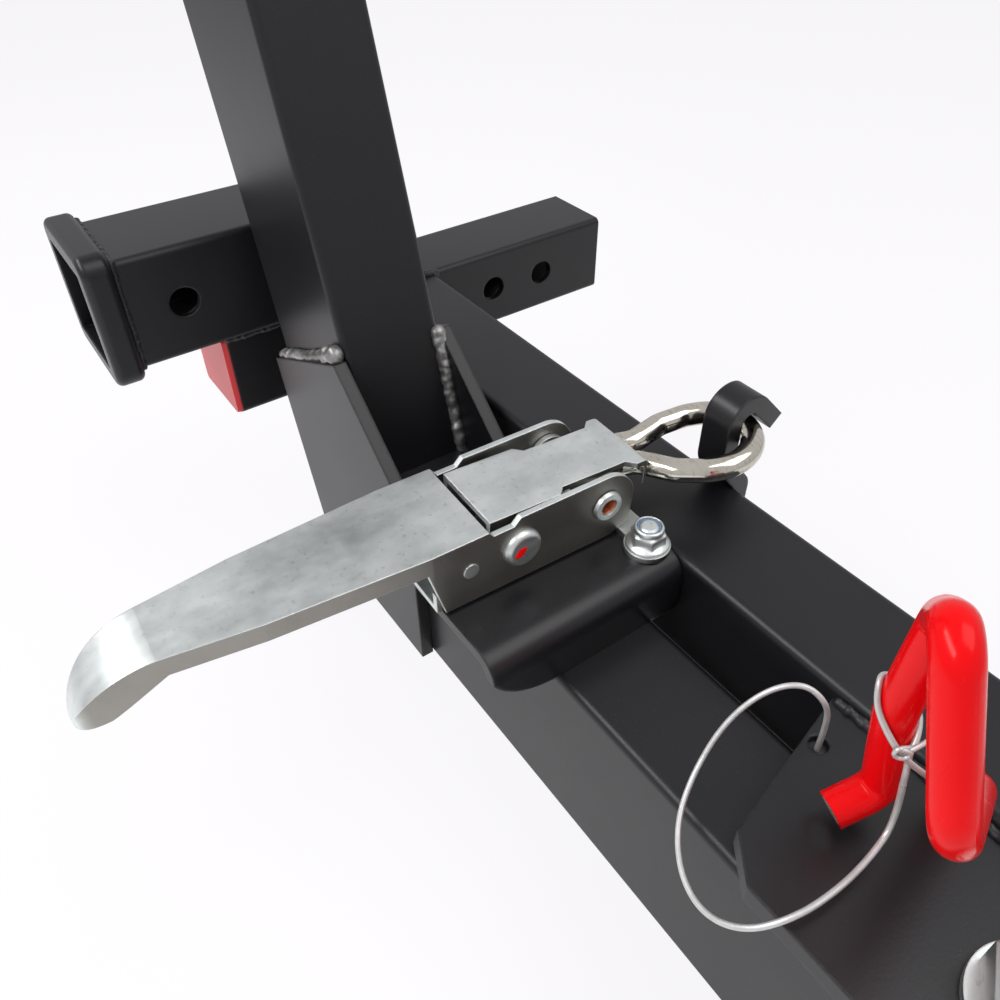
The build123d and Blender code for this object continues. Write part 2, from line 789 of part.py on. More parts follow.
with BuildPart() as link_rivet:
    with BuildSketch(latch_side(-handle_width / 2)):
        with Locations((-link_arm, link_rise)):
            Circle(link_rivet_diameter / 2)
    extrude(amount=handle_width)
    for side in (-1, 1):
        with BuildSketch(latch_side(side * handle_width / 2)):
            with Locations((-link_arm, link_rise)):
                Circle(link_rivet_head / 2)
        extrude(amount=side * link_rivet_dome)
        head_rim = link_rivet.faces().sort_by(Axis(latch_foot, latch_right))[0 if side < 0 else -1]
        fillet(head_rim.edges(), radius=link_rivet_dome * 0.9)
link_rivet.part.label = "link_rivet"
export_step(link_rivet.part, "parts/link_rivet.step")

with BuildPart() as stop_rivet:
    with BuildSketch(latch_side(-handle_width / 2 - 0.4)):
        with Locations((-stop_rivet_back, stop_rivet_rise)):
            Circle(stop_rivet_diameter / 2)
    extrude(amount=handle_width + 0.8)
stop_rivet.part.label = "stop_rivet"
export_step(stop_rivet.part, "parts/stop_rivet.step")

# Draw plate: it turns on the link rivet and carries the ring in its bent-down front edge
slope = radians(draw_slope)
draw_ahead = latch_ahead * cos(slope) - up * sin(slope)
draw_up = latch_ahead * sin(slope) + up * cos(slope)
draw_corner = latch_point(0, -draw_rear, draw_rise)


def draw_side(right):
    """Return the plane of a cheek of the draw plate: x runs along it, y up from its top."""
    return Plane(origin=draw_corner + latch_right * right, x_dir=draw_ahead, z_dir=latch_right)


cheek_depth = draw_rise - link_rise + 8

with BuildPart() as draw_plate:
    with BuildSketch(Plane(origin=draw_corner, x_dir=latch_right, z_dir=draw_up)):
        with BuildLine():
            Polyline(
                (0, 0),
                (draw_half, 0),
                (draw_half, draw_length - waist_start),
                (draw_half - waist_depth, draw_length - waist_start + waist_ramp),
                (draw_half - waist_depth, draw_length - waist_end - waist_ramp),
                (draw_half, draw_length - waist_end),
                (draw_half, draw_length - 1.5),
                (draw_half - 1.5, draw_length),
                (0, draw_length),
            )
            mirror(about=Plane.YZ)
        make_face()
    extrude(amount=-2 * lip_depth)
    with BuildSketch(draw_side(-2 * draw_half)) as bent_edge:
        with BuildLine():
            Polyline(
                (0, 0),
                (draw_length, 0),
                (draw_length, -lip_depth),
                (draw_length - sheet, -lip_depth),
                (draw_length - sheet, -sheet),
                (0, -sheet),
                close=True,
            )
        make_face()
        fillet(bent_edge.vertices().sort_by_distance((draw_length, 0))[0], radius=lip_bend)
        inner_corner = bent_edge.vertices().sort_by_distance((draw_length - sheet, -sheet))[0]
        fillet(inner_corner, radius=lip_bend - sheet)
    extrude(amount=4 * draw_half, mode=Mode.INTERSECT)
    for cheek in (-draw_half, draw_half - sheet):
        with BuildSketch(draw_side(cheek)) as cheek_face:
            Rectangle(24, cheek_depth, align=(Align.MIN, Align.MAX))
            fillet(cheek_face.vertices().group_by(Axis.Y)[0], radius=7)
        extrude(amount=sheet)
    window_width = draw_half - window_rim - web_width / 2
    for window in (-window_width - web_width / 2, web_width / 2):
        with BuildSketch(draw_side(window)):
            with Locations((draw_length, -sheet)):
                Rectangle(3 * sheet, lip_depth, align=(Align.CENTER, Align.MAX))
        extrude(amount=window_width, mode=Mode.SUBTRACT)
    with BuildSketch(latch_side(-handle_width)):
        with Locations((-link_arm, link_rise)):
            Circle(link_rivet_diameter / 2 + rivet_play)
    extrude(amount=2 * handle_width, mode=Mode.SUBTRACT)
draw_plate.part.label = "draw_plate"
export_step(draw_plate.part, "parts/draw_plate.step")

# Pull ring: a closed link whose narrow end sits behind the draw plate's web
ring_pitch = asin(ring_rise / ring_length)
ring_turn = radians(ring_yaw)
ring_level = latch_ahead * cos(ring_turn) + latch_right * sin(ring_turn)
ring_along = ring_level * cos(ring_pitch) + up * sin(ring_pitch)
ring_up = up * cos(ring_pitch) - ring_level * sin(ring_pitch)
ring_root = latch_point(ring_pivot_right, ring_pivot_ahead, ring_pivot_rise)
ring_plane = Plane(origin=ring_root, x_dir=ring_along, z_dir=ring_up)

with BuildPart() as pull_ring:
    with BuildLine(ring_plane):
        half_ring = FilletPolyline(
            (0, 0),
            (0, ring_neck),
            (14, ring_neck),
            (27, ring_half - 3.2),
            (39, ring_half),
            (ring_length, ring_half),
            (ring_length, 0),
            radius=[ring_neck - 0.2, 10, 14, 12, ring_half - 0.4],
        )
    with BuildSketch(Plane(origin=half_ring @ 0, z_dir=half_ring % 0)):
        Circle(ring_wire / 2)
    sweep()
    mirror(about=Plane(origin=ring_root, z_dir=ring_plane.y_dir))
pull_ring.part.label = "pull_ring"
export_step(pull_ring.part, "parts/pull_ring.step")

# Stop pin with its red handle: the pin's rod is bent into a hairpin inside the coating
grip_foot = plate_top + grip_start
grip_points = (
    (stop_pin_x, stop_pin_y, grip_foot),
    (stop_pin_x, stop_pin_y, grip_foot + 16),
    (435, -189.4, 76.1),
    (412, -182.4, 127.8),
    (404, -166, 112.5),
    (402.4, -164.6, 72.6),
    (407.1, -161.1, 35.2),
    (402, -175.4, 28.5),
)
grip_radii = [16, 14, 6.8, 9, 60, 7.5]

with BuildPart() as stop_pin:
    with BuildSketch(Plane.XY.offset(-stop_pin_depth)):
        with Locations((stop_pin_x, stop_pin_y)):
            Circle(stop_pin_diameter / 2)
    extrude(amount=grip_foot + stop_pin_depth)
    chamfer(stop_pin.edges().group_by(Axis.Z)[0], length=2)
    with BuildLine() as rod_line:
        FilletPolyline(*grip_points, radius=grip_radii)
    with BuildSketch(Plane.XY.offset(grip_foot)):
        with Locations((stop_pin_x, stop_pin_y)):
            Circle(grip_core / 2)
    sweep(path=rod_line.line)
stop_pin.part.label = "stop_pin"
export_step(stop_pin.part, "parts/stop_pin.step")

with BuildPart() as pin_grip:
    with BuildLine() as grip_line:
        FilletPolyline(*grip_points, radius=grip_radii)
    with BuildSketch(Plane.XY.offset(grip_foot)):
        with Locations((stop_pin_x, stop_pin_y)):
            Circle(grip_diameter / 2)
    sweep(path=grip_line.line)
    add(stop_pin.part, mode=Mode.SUBTRACT)
pin_grip.part.label = "pin_grip"
export_step(pin_grip.part, "parts/pin_grip.step")

# Lanyard: a coated cable from the hinge plate's hole to the handle's free leg
leg_high = Vector(grip_points[5])
leg_low = Vector(grip_points[6])
leg_along = (leg_high - leg_low).normalized()
leg_aside = Vector(0.83, 0.40, 0.39)
leg_aside = (leg_aside - leg_along * leg_aside.dot(leg_along)).normalized()
leg_point = leg_low + leg_along * ferrule_at
ferrule_foot = leg_point + leg_aside * (grip_diameter / 2 + tie_play + ferrule_diameter / 2)
crimp_foot = plate_foot - 4
crimp_top = plate_top - 3

with BuildPart() as lanyard_crimp:
    with BuildSketch(Plane.XY.offset(crimp_foot)):
        with Locations((lanyard_x, lanyard_y)):
            Circle(lanyard_hole / 2 + 2)
    extrude(amount=plate_foot - crimp_foot)
    with BuildSketch(Plane.XY.offset(plate_foot)):
        with Locations((lanyard_x, lanyard_y)):
            Circle(lanyard_hole / 2)
    extrude(amount=crimp_top - plate_foot)
lanyard_crimp.part.label = "lanyard_crimp"
export_step(lanyard_crimp.part, "parts/lanyard_crimp.step")

lanyard_points = (
    (lanyard_x, lanyard_y, crimp_top),
    (lanyard_x, lanyard_y, 32),
    (380.5, -155.6, 42.5),
    (372.5, -159, 47),
    (365.5, -168, 42),
    (361.5, -179, 29),
    (363.5, -192, 14),
    (371, -206, 8),
    (384, -217, 7),
    (398, -221.5, 10),
    (410, -218.5, 18),
    (417, -208, 26.5),
    (418.5, -193, 29.5),
    (417.5, -176, 29.5),
    ferrule_foot - leg_along * 19,
    ferrule_foot,
)
lanyard_turns = []
for before, corner, after in zip(lanyard_points, lanyard_points[1:], lanyard_points[2:]):
    into = Vector(corner) - Vector(before)
    out_of = Vector(after) - Vector(corner)
    turn = radians(into.get_angle(out_of))
    lanyard_turns.append(0.45 * min(into.length, out_of.length) / tan(turn / 2))
print("lanyard radii", [round(radius, 1) for radius in lanyard_turns])

with BuildPart() as lanyard:
    with BuildLine():
        lanyard_line = FilletPolyline(*lanyard_points, radius=lanyard_turns)
    with BuildSketch(Plane(origin=lanyard_line @ 0, z_dir=lanyard_line % 0)):
        Circle(lanyard_diameter / 2)
    sweep()
lanyard.part.label = "lanyard"
export_step(lanyard.part, "parts/lanyard.step")
lanyard_section = pi * lanyard_diameter**2 / 4
print("lanyard length", round(lanyard_line.length, 1))
print("lanyard volume against section times length",
      round(lanyard.part.volume / (lanyard_section * lanyard_line.length), 4))

ferrule_plane = Plane(origin=ferrule_foot, z_dir=leg_along)
tie_plane = Plane(origin=leg_point + leg_along * (ferrule_length / 2), z_dir=leg_along)

with BuildPart() as lanyard_ferrule:
    with BuildSketch(ferrule_plane):
        Circle(ferrule_diameter / 2)
    extrude(amount=ferrule_length)
    fillet(lanyard_ferrule.edges(), radius=0.8)
    with BuildSketch(tie_plane.offset(-tie_wire)):
        Circle(grip_diameter / 2 + tie_play + tie_wire)
        Circle(grip_diameter / 2 + tie_play, mode=Mode.SUBTRACT)
    extrude(amount=2 * tie_wire)
lanyard_ferrule.part.label = "lanyard_ferrule"
export_step(lanyard_ferrule.part, "parts/lanyard_ferrule.step")

# Wheel mounting on the mast: a stub, a round plate and its pressed-in studs
wheel_axis = Plane(origin=(wheel_x, arm_rear, wheel_rise), x_dir=(1, 0, 0), z_dir=(0, -1, 0))

with BuildPart() as wheel_stub:
    with BuildSketch(wheel_axis):
        Circle(wheel_stub_diameter / 2)
        Circle(wheel_stub_diameter / 2 - wheel_stub_wall, mode=Mode.SUBTRACT)
    extrude(amount=wheel_stub_length)
wheel_stub.part.label = "wheel_stub"
export_step(wheel_stub.part, "parts/wheel_stub.step")

with BuildPart() as wheel_plate:
    with BuildSketch(wheel_axis.offset(wheel_stub_length)):
        Circle(wheel_plate_diameter / 2)
        with PolarLocations(wheel_pcd / 2, wheel_stud_count, start_angle=90):
            Circle(wheel_stud_knurl / 2, mode=Mode.SUBTRACT)
    extrude(amount=wheel_plate_thickness)
wheel_plate.part.label = "wheel_plate"
export_step(wheel_plate.part, "parts/wheel_plate.step")

with BuildPart() as wheel_studs:
    with BuildSketch(wheel_axis.offset(wheel_stub_length)):
        with PolarLocations(wheel_pcd / 2, wheel_stud_count, start_angle=90):
            Circle(wheel_stud_head / 2)
    extrude(amount=-wheel_stud_head_height)
    with BuildSketch(wheel_axis.offset(wheel_stub_length)):
        with PolarLocations(wheel_pcd / 2, wheel_stud_count, start_angle=90):
            Circle(wheel_stud_knurl / 2)
    extrude(amount=wheel_plate_thickness)
    with BuildSketch(wheel_axis.offset(wheel_stub_length + wheel_plate_thickness)):
        with PolarLocations(wheel_pcd / 2, wheel_stud_count, start_angle=90):
            Circle(wheel_stud / 2)
    extrude(amount=wheel_stud_length)
    chamfer(wheel_studs.edges().group_by(Axis.Y)[0], length=1.2)
wheel_studs.part.label = "wheel_studs"
export_step(wheel_studs.part, "parts/wheel_studs.step")
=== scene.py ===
# %% [markdown]
# # Hitch spare tire carrier
# A steel carrier hangs on a vehicle's hitch receiver: a square shank, a cross beam, and an arm that swings on
# a bolt at the beam's end. A draw latch holds the arm shut, and a pin with a red handle locks it.
# The solids come from the imported frame. Blender adds what a solid model leaves out: welds, wire, coatings,
# wear and light.
# %% Load the frame
import bpy
import json
import math
import random
from mathutils import Matrix, Vector


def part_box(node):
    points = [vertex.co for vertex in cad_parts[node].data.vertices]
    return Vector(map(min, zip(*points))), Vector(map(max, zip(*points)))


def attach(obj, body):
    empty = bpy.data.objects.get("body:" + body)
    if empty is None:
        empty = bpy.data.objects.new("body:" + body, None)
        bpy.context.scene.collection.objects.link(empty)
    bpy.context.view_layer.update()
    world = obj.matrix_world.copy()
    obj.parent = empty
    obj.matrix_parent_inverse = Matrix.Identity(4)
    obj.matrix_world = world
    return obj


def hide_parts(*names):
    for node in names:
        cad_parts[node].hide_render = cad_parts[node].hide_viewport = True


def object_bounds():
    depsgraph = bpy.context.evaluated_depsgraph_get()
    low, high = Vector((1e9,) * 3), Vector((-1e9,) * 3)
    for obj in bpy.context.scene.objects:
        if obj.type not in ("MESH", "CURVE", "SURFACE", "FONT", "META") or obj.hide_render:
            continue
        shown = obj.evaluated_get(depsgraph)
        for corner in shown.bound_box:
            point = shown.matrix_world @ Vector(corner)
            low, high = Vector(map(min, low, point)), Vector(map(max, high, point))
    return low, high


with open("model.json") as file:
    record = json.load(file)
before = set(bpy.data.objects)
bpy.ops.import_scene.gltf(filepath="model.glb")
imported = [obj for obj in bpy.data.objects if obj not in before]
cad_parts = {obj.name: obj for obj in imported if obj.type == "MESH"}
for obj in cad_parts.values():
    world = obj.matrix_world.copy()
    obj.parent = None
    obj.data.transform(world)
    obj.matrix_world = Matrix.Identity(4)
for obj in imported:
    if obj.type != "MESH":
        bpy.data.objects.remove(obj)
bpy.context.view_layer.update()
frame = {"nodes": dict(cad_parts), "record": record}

random.seed(7)

# %% [markdown]
# ## Camera
# A photograph of straight bars gives its camera away: the bars' vanishing points fix the angle of view, and
# a bar of known height fixes the distance. Two vectors say which way is right and back, and up follows from
# them.
# %% Camera
camera_place = Vector((0.456, -0.333, 0.274))
camera_right = Vector((0.5745, 0.8185, -0.0096))
camera_back = Vector((0.6172, -0.4255, 0.6618))
view_angle = 60

camera_up = camera_back.cross(camera_right).normalized()
camera_right = camera_up.cross(camera_back).normalized()
bpy.ops.object.camera_add(location=camera_place)
camera = bpy.context.object
camera.name = "camera"
turn = Matrix((camera_right, camera_up, camera_back.normalized())).transposed()
camera.matrix_world = Matrix.Translation(camera_place) @ turn.to_4x4()
camera.data.sensor_width = 36
camera.data.angle = math.radians(view_angle)
camera.data.clip_start = 0.01
bpy.context.scene.camera = camera
print("lens", round(camera.data.lens, 2), "mm")

# %% [markdown]
# ## Lanyard
# The locking pin hangs on a short steel cable, so that it can't be lost. It leaves a hole in the hinge plate,
# makes one springy loop and ends in a knot on the red handle. A NURBS spline bends as such a cable does,
# evenly and without corners.
# %% Lanyard route
mm = 0.001
lanyard_diameter = 2 * mm
lanyard_route = [
    Vector(point) * mm
    for point in (
        (382.5, -154.2, 17), (382.5, -154.2, 32), (380.5, -155.6, 42.5), (372.5, -159, 47),
        (365.5, -168, 42), (361.5, -179, 29), (363.5, -192, 14), (371, -206, 8), (384, -217, 7),
        (398, -221.5, 10), (410, -218.5, 18), (417, -208, 26.5), (419, -194, 28.5), (418.5, -179, 28.5),
        (416.2, -164.6, 31.6), (413.3, -166.0, 50.4),
    )
]


def unselect():
    """Leave object mode's selection empty before an operator runs."""
    if bpy.context.object and bpy.context.object.mode != "OBJECT":
        bpy.ops.object.mode_set(mode="OBJECT")
    bpy.ops.object.select_all(action="DESELECT")


def rope_curve(name, points, thickness):
    """Lay a round curve along control points in metres; each point's radius scales a bevel of one metre."""
    data = bpy.data.curves.new(name, "CURVE")
    data.dimensions = "3D"
    data.resolution_u = 10
    data.bevel_depth = 1
    data.bevel_resolution = 4
    data.use_fill_caps = True
    spline = data.splines.new("NURBS")
    spline.points.add(len(points) - 1)
    for control, place in zip(spline.points, points):
        control.co = (*place, 1)
        control.radius = thickness / 2
    spline.order_u = 3
    spline.use_endpoint_u = True
    rope = bpy.data.objects.new(name, data)
    bpy.context.collection.objects.link(rope)
    return rope


lanyard = rope_curve("lanyard_cable", lanyard_route, lanyard_diameter)
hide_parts("lanyard")
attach(lanyard, "stop_pin")
print("lanyard points:", len(lanyard_route))

# %% [markdown]
# ## Writing shader maths as Python
# A finish is mostly arithmetic on a few patterns. The class below wraps one output of a node, so that
# `0.4 + 0.1 * grain` adds the Math nodes by itself. Any other node comes from `node`, which sets the node's
# own choices first and then fills or links its inputs.
# %% Shader helper
class Value:
    """One output in a node tree, on which Python's operators work."""

    def __init__(self, tree, output):
        self.tree = tree
        self.output = output

    def join(self, operation, *terms):
        """Add a Math node on these terms."""
        step = self.tree.nodes.new("ShaderNodeMath")
        step.operation = operation
        for entry, term in zip(step.inputs, terms):
            fill(self.tree, entry, term)
        return Value(self.tree, step.outputs[0])

    def __add__(self, other):
        return self.join("ADD", self, other)

    def __radd__(self, other):
        return self.join("ADD", other, self)

    def __sub__(self, other):
        return self.join("SUBTRACT", self, other)

    def __rsub__(self, other):
        return self.join("SUBTRACT", other, self)

    def __mul__(self, other):
        return self.join("MULTIPLY", self, other)

    def __rmul__(self, other):
        return self.join("MULTIPLY", other, self)

    def __pow__(self, other):
        return self.join("POWER", self, other)

    def between(self, low, high):
        """Spread the values from low to high over 0 to 1, and cut off the rest."""
        step = self.tree.nodes.new("ShaderNodeMapRange")
        for entry, term in zip(step.inputs, (self, low, high, 0.0, 1.0)):
            fill(self.tree, entry, term)
        return Value(self.tree, step.outputs[0])


def fill(tree, entry, term):
    """Link a value to an input, or write a number or colour there."""
    if isinstance(term, Value):
        tree.links.new(term.output, entry)
    elif entry.type == "RGBA":
        entry.default_value = (*term, 1)
    else:
        entry.default_value = term


class Finish:
    """A material under construction."""

    def __init__(self, name):
        self.material = bpy.data.materials.new(name)
        self.material.use_nodes = True
        self.tree = self.material.node_tree
        self.shader = self.tree.nodes["Principled BSDF"]
        self.place = self.node("ShaderNodeTexCoord", output="Object")

    def node(self, kind, settings=None, output=0, **inputs):
        """Add a node: its own settings first, then its inputs by name."""
        step = self.tree.nodes.new(kind)
        for key, choice in (settings or {}).items():
            setattr(step, key, choice)
        for key, term in inputs.items():
            fill(self.tree, step.inputs[key.replace("_", " ")], term)
        return Value(self.tree, step.outputs[output])

    def noise(self, scale, detail=2.0, stretch=(1, 1, 1), turn=0.0):
        """Cloudy pattern; scale is in turns per metre, stretch draws it out."""
        where = self.node("ShaderNodeMapping", Vector=self.place, Rotation=(0, 0, turn), Scale=stretch)
        return self.node("ShaderNodeTexNoise", Vector=where, Scale=scale, Detail=detail, Roughness=0.55)

    def blend(self, mask, low, high):
        """Mix two colours by a mask."""
        step = self.tree.nodes.new("ShaderNodeMix")
        step.data_type = "RGBA"
        fill(self.tree, step.inputs[0], mask)
        fill(self.tree, step.inputs[6], low)
        fill(self.tree, step.inputs[7], high)
        return Value(self.tree, step.outputs[2])

    def edges(self, radius):
        """Mask that is 1 on sharp edges, with the softened normal that found them."""
        soft = self.node("ShaderNodeBevel", {"samples": 4}, Radius=radius)
        flat = self.node("ShaderNodeNewGeometry", output="Normal")
        step = self.tree.nodes.new("ShaderNodeVectorMath")
        step.operation = "DOT_PRODUCT"
        fill(self.tree, step.inputs[0], soft)
        fill(self.tree, step.inputs[1], flat)
        return 1 - Value(self.tree, step.outputs["Value"]), soft

    def relief(self, height, distance, strength=1.0, normal=None):
        """Bump from a pattern; distance is the height in metres that 1 stands for."""
        inputs = {"Height": height, "Distance": distance, "Strength": strength}
        if normal is not None:
            inputs["Normal"] = normal
        return self.node("ShaderNodeBump", **inputs)

    def finish(self, **inputs):
        """Fill the shader's own inputs."""
        for key, term in inputs.items():
            fill(self.tree, self.shader.inputs[key.replace("_", " ")], term)
        return self.material


# %% [markdown]
# ## Black powder coat
# Powder is sprayed on dry and melts to a thick skin with a fine orange-peel grain. It is thinner on its
# edges,
# which are painted a patchy paler grey: partly rub wear where it is handled, partly a painted highlight.
# Three
# noises do this: cloudy patches in the colour, grain in the bump and small pale specks of dust.
# %% Black powder coat
def powder_coat():
    """Satin black with orange-peel grain, dust specks and paler edges of wear and painted highlight."""
    coat = Finish("black_powder_coat")
    patches = coat.noise(14, 4)
    grain = coat.noise(900, 3)
    dust = coat.noise(1500, 2).between(0.69, 0.80)
    rim, soft = coat.edges(0.0016)
    # painted highlight and rub wear: the edges are made a patchy paler grey
    edge_wear_and_highlight = rim.between(0.02, 0.30) * coat.noise(160, 4).between(0.35, 0.65)
    black = coat.blend(patches, (0.0045, 0.0045, 0.0058), (0.0085, 0.0083, 0.0100))
    black = coat.blend(edge_wear_and_highlight * 0.55, black, (0.065, 0.062, 0.062))
    black = coat.blend(dust * 0.5, black, (0.10, 0.10, 0.11))
    peel = coat.relief(grain, 0.00005, 0.55, soft)
    return coat.finish(
        Base_Color=black, Roughness=0.30 + 0.10 * patches, Normal=peel, Specular_IOR_Level=0.36,
    )


# %% [markdown]
# ## Bright zinc plate
# Zinc with a clear passivate is blue-grey metal. The sheet was drawn and stamped before it was plated, so it
# shows soft streaks along the latch and cloudier spots where fingers have been. Its side walls get painted
# shade: a mask from the surface's direction darkens them to a duller brown than its top. Sharp edges get a
# painted highlight.
# %% Zinc plate
latch_turn = math.radians(2.1)


def zinc_plate(name, along=False, tone=(0.62, 0.655, 0.645)):
    """Satin metal with painted edge highlights; with along set, streaks run along the latch and side walls
    get painted shade.
    """
    zinc = Finish(name)
    clouds = zinc.noise(38, 5)
    stretch = (2.0, 0.8, 1.0) if along else (1.0, 1.0, 3.0)
    streaks = zinc.noise(95, 5, stretch, latch_turn if along else 0.0)
    pits = zinc.noise(420, 3).between(0.60, 0.74)
    rim, soft = zinc.edges(0.0007)
    dull = tuple(part * 0.80 for part in tone)
    bright = tuple(min(part * 1.14, 0.8) for part in tone)
    colour = zinc.blend((0.7 * clouds + 0.3 * streaks).between(0.32, 0.62), dull, bright)
    # painted shade: walls that face sideways are darkened to brown by their direction, whatever the light
    if along:
        facing = zinc.node("ShaderNodeTexCoord", output="Normal")
        sideways = zinc.node("ShaderNodeSeparateXYZ", output="X", Vector=facing)
        painted_wall_shade = sideways.join("ABSOLUTE", sideways).between(0.55, 0.9)
        colour = zinc.blend(painted_wall_shade * (0.55 + 0.4 * clouds), colour, (0.15, 0.125, 0.10))
    colour = zinc.blend(pits * 0.35, colour, (0.30, 0.31, 0.29))
    # painted highlight: sharp edges are lightened towards near-white metal
    colour = zinc.blend(rim.between(0.03, 0.3) * 0.5, colour, (0.78, 0.80, 0.79))
    rough = 0.27 + 0.16 * streaks + 0.10 * clouds
    skin = zinc.relief(streaks + 0.5 * pits, 0.00005, 0.35, soft)
    return zinc.finish(Base_Color=colour, Metallic=1.0, Roughness=rough, Normal=skin)


# %% [markdown]
# ## Nickel wire, red vinyl, plastics, cable
# The ring is bright nickel with a warm cast and short rub marks. The pin's handle was dipped in vinyl, so its
# gloss has slow waves. Caps are moulded plastic with a fine texture, and the cable's wires wind round it.
# %% Other finishes
def nickel_wire():
    """Bright, slightly yellow plate with rub marks."""
    nickel = Finish("nickel_wire")
    rubs = nickel.noise(240, 4, (1.0, 3.0, 1.0)).between(0.52, 0.68)
    clouds = nickel.noise(60, 3)
    colour = nickel.blend(clouds, (0.46, 0.44, 0.375), (0.66, 0.635, 0.565))
    colour = nickel.blend(rubs * 0.4, colour, (0.24, 0.215, 0.17))
    skin = nickel.relief(nickel.noise(120, 3), 0.0001, 0.25)
    return nickel.finish(Base_Color=colour, Metallic=1.0, Roughness=0.11 + 0.16 * rubs, Normal=skin)


def red_vinyl():
    """Glossy dipped skin with slow waves and a few scuffs."""
    vinyl = Finish("red_vinyl")
    waves = vinyl.noise(55, 2)
    scuffs = vinyl.noise(300, 5, (1.0, 1.0, 0.2)).between(0.60, 0.72)
    red = vinyl.blend(waves, (0.66, 0.001, 0.003), (0.76, 0.003, 0.005))
    skin = vinyl.relief(waves + 0.15 * vinyl.noise(420, 2), 0.0007, 0.35)
    return vinyl.finish(
        Base_Color=red, Roughness=0.20 + 0.25 * scuffs, Normal=skin, Specular_IOR_Level=0.14,
    )


def moulded_plastic(name, dark, light, rough):
    """Plain moulded part: fine texture, a faint change of tone and a painted highlight on its edges."""
    plastic = Finish(name)
    clouds = plastic.noise(45, 3)
    rim, soft = plastic.edges(0.0008)
    colour = plastic.blend(clouds, dark, light)
    # painted highlight: edges are lightened to a paler tone
    colour = plastic.blend(rim.between(0.05, 0.4) * 0.25, colour, tuple(part * 1.5 for part in light))
    skin = plastic.relief(plastic.noise(1100, 2), 0.00004, 0.5, soft)
    return plastic.finish(Base_Color=colour, Roughness=rough + 0.1 * clouds, Normal=skin)


def pressed_alloy():
    """Dull soft metal with press marks."""
    alloy = Finish("ferrule_alloy")
    marks = alloy.noise(500, 3, (1.0, 1.0, 0.4))
    colour = alloy.blend(marks, (0.50, 0.50, 0.50), (0.70, 0.70, 0.70))
    return alloy.finish(
        Base_Color=colour, Metallic=1.0, Roughness=0.38 + 0.2 * marks,
        Normal=alloy.relief(marks, 0.0001, 0.6),
    )


def cable_steel():
    """Greyish-white twisted wire."""
    cable = Finish("cable")
    tarnish = cable.noise(260, 3)
    colour = cable.blend(tarnish, (0.42, 0.42, 0.42), (0.66, 0.66, 0.65))
    return cable.finish(
        Base_Color=colour, Metallic=0.55, Roughness=0.36 + 0.1 * tarnish,
        Normal=cable.relief(cable.noise(1800, 2), 0.0001, 0.5),
    )


def weld_steel():
    """Silvery bead with darker ripples."""
    weld = Finish("weld_bead")
    ripple = weld.noise(420, 4)
    soot = weld.noise(120, 3).between(0.42, 0.62)
    colour = weld.blend(soot, (0.20, 0.195, 0.19), (0.50, 0.50, 0.49))
    return weld.finish(
        Base_Color=colour, Metallic=0.85, Roughness=0.34 + 0.2 * ripple,
        Normal=weld.relief(ripple, 0.0003, 0.7),
    )


def painted_weld():
    """The same bead under powder coat."""
    bead = Finish("coated_weld")
    ripple = bead.noise(380, 4)
    black = bead.blend(ripple, (0.011, 0.011, 0.013), (0.030, 0.029, 0.031))
    return bead.finish(
        Base_Color=black, Roughness=0.36 + 0.1 * ripple, Specular_IOR_Level=0.35,
        Normal=bead.relief(ripple, 0.0003, 0.6),
    )


finishes = {
    "black_powder_coat": powder_coat(),
    "zinc_steel": zinc_plate("zinc_steel"),
    "latch_zinc": zinc_plate("latch_zinc", along=True),
    "nickel_wire": nickel_wire(),
    "red_vinyl": red_vinyl(),
    "red_plastic": moulded_plastic("red_plastic", (0.58, 0.006, 0.010), (0.68, 0.012, 0.018), 0.30),
    "black_plastic": moulded_plastic("black_plastic", (0.014, 0.014, 0.015), (0.024, 0.024, 0.025), 0.48),
    "cable": cable_steel(),
    "ferrule_alloy": pressed_alloy(),
    "weld_bead": weld_steel(),
    "coated_weld": painted_weld(),
}
print("finishes:", ", ".join(finishes))

# %% [markdown]
# ## Finishes on the solids
# Each solid names a material slot in the frame's record. The latch's stamped sheets get the streaked zinc.
# %% Dress the solids
def dress(piece, finish):
    """Give a piece one finish on all its faces."""
    piece.data.materials.clear()
    piece.data.materials.append(finishes[finish])


for part in frame["record"]["subparts"]:
    piece = frame["nodes"][part["node"]]
    stamped = part["node"] in ("latch_handle", "draw_plate", "latch_base")
    dress(piece, "latch_zinc" if stamped else part["material_slot"])
dress(lanyard, "cable")

# %% [markdown]
# ## Weld beads
# Every joint between two bars is welded, and most beads were blasted and coated with the rest. The ones at
# the mast show bare silvery metal. A bead is a row of overlapping drops: each is added as a ball of its own
# slightly different size, the row is joined and remeshed to one skin, and then smoothed and roughened.
# %% Weld bead helper
def join_pieces(name, parts):
    """Join meshes to one named object with its place in its mesh."""
    unselect()
    for part in parts:
        part.select_set(True)
    bpy.context.view_layer.objects.active = parts[0]
    if len(parts) > 1:
        bpy.ops.object.join()
    piece = bpy.context.object
    piece.name = name
    piece.data.name = name
    bpy.ops.object.transform_apply(location=True, rotation=True, scale=True)
    return piece


def add_modifier(piece, kind, **settings):
    """Add a modifier, set it and apply it."""
    unselect()
    piece.select_set(True)
    bpy.context.view_layer.objects.active = piece
    step = piece.modifiers.new(kind.lower(), kind)
    for key, choice in settings.items():
        setattr(step, key, choice)
    bpy.ops.object.modifier_apply(modifier=step.name)


roughness_map = bpy.data.textures.new("bead_roughness", "CLOUDS")
roughness_map.noise_scale = 0.004


